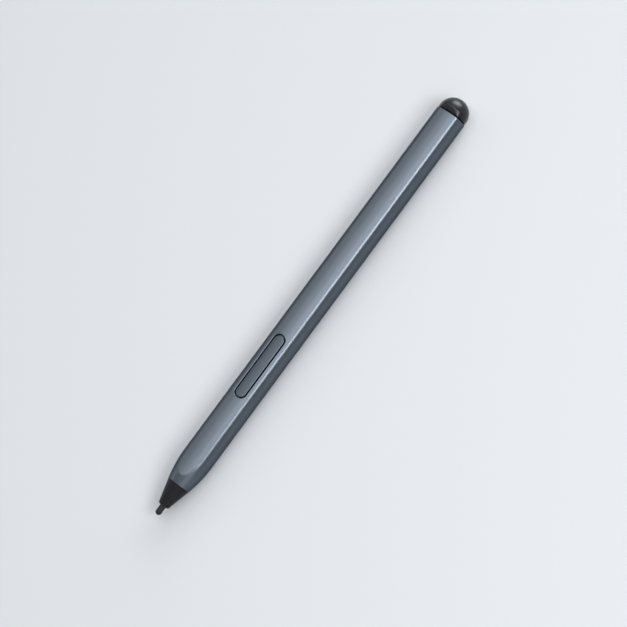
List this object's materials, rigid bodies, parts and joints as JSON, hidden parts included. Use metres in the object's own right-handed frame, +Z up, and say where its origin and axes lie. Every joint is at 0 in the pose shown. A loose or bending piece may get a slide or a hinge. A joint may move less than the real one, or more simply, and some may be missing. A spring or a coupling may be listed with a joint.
{
  "type": "stylus pen",
  "caption": "Slim round stylus pen with a crowned facet that carries a pill-shaped side button, a black cone with a pressing nib and a black domed eraser end.",
  "frame": {"origin": "under the middle of the pen's length, level with the lowest line of its round back", "axes": "+X along the pen from the nib to the domed end, +Z up through the middle of the facet and its button"},
  "size_m": [0.1468, 0.0094, 0.0093],
  "materials": {
    "barrel_lacquer": "satin metallic steel-grey lacquer on a moulded shell",
    "button_lacquer": "the barrel's lacquer, a little darker and more matt",
    "nose_black": "fine-textured black moulding",
    "nib_black": "smooth black acetal, a little polished at the end",
    "dome_black": "glossy black moulding",
    "inner_plastic": "plain dark moulding",
    "silicone": "translucent grey silicone",
    "ferrite": "dark sintered ferrite",
    "copper": "enamelled copper wire",
    "ceramic": "glazed ceramic",
    "terminal_brass": "plated brass strip",
    "board_laminate": "green solder mask on laminate",
    "chip_resin": "black moulding resin",
    "magnet_plating": "nickel-plated magnet",
    "spring_steel": "bright spring wire"
  },
  "bodies": {
    "barrel": {"barrel": "barrel_lacquer", "nose_cone": "nose_black", "core_cushion": "silicone", "ferrite_core": "ferrite", "coil_bobbin": "inner_plastic", "antenna_coil": "copper", "coil_leads": "copper", "sensor_housing": "inner_plastic", "pressure_pad": "silicone", "sensor_capacitor": "ceramic", "sensor_terminals": "terminal_brass", "chassis": "inner_plastic", "circuit_board": "board_laminate", "controller_chip": "chip_resin", "tuning_capacitors": "ceramic", "side_switch": "chip_resin", "magnets": "magnet_plating", "tail_collar": "inner_plastic", "eraser_spring": "spring_steel", "eraser_bobbin": "inner_plastic", "eraser_coil": "copper", "eraser_sensor": "ceramic", "eraser_leads": "copper"},
    "nib_carrier": {"nib_holder": "inner_plastic"},
    "nib": {"nib": "nib_black"},
    "button": {"side_button": "button_lacquer", "switch_plunger": "inner_plastic"},
    "eraser": {"eraser_dome": "dome_black", "eraser_rod": "inner_plastic", "eraser_clip": "spring_steel", "eraser_core": "ferrite"}
  },
  "joints": [
    {"name": "nib_press", "type": "slide", "parent": "barrel", "child": "nib_carrier", "axis": [1, 0, 0], "range_m": [0, 0.0004], "stiffness_N_per_m": 1500, "springref_m": -0.0002, "deforming": ["pressure_pad"]},
    {"name": "nib_pull", "type": "slide", "parent": "nib_carrier", "child": "nib", "axis": [-1, 0, 0], "range_m": [0, 0.034]},
    {"name": "button_press", "type": "slide", "parent": "barrel", "child": "button", "axis": [0, 0, -1], "range_m": [0, 0.0003], "stiffness_N_per_m": 3000, "springref_m": -0.0002},
    {"name": "eraser_press", "type": "slide", "parent": "barrel", "child": "eraser", "axis": [-1, 0, 0], "range_m": [0, 0.00025], "stiffness_N_per_m": 2000, "springref_m": -0.0003, "deforming": ["eraser_spring"]}
  ]
}
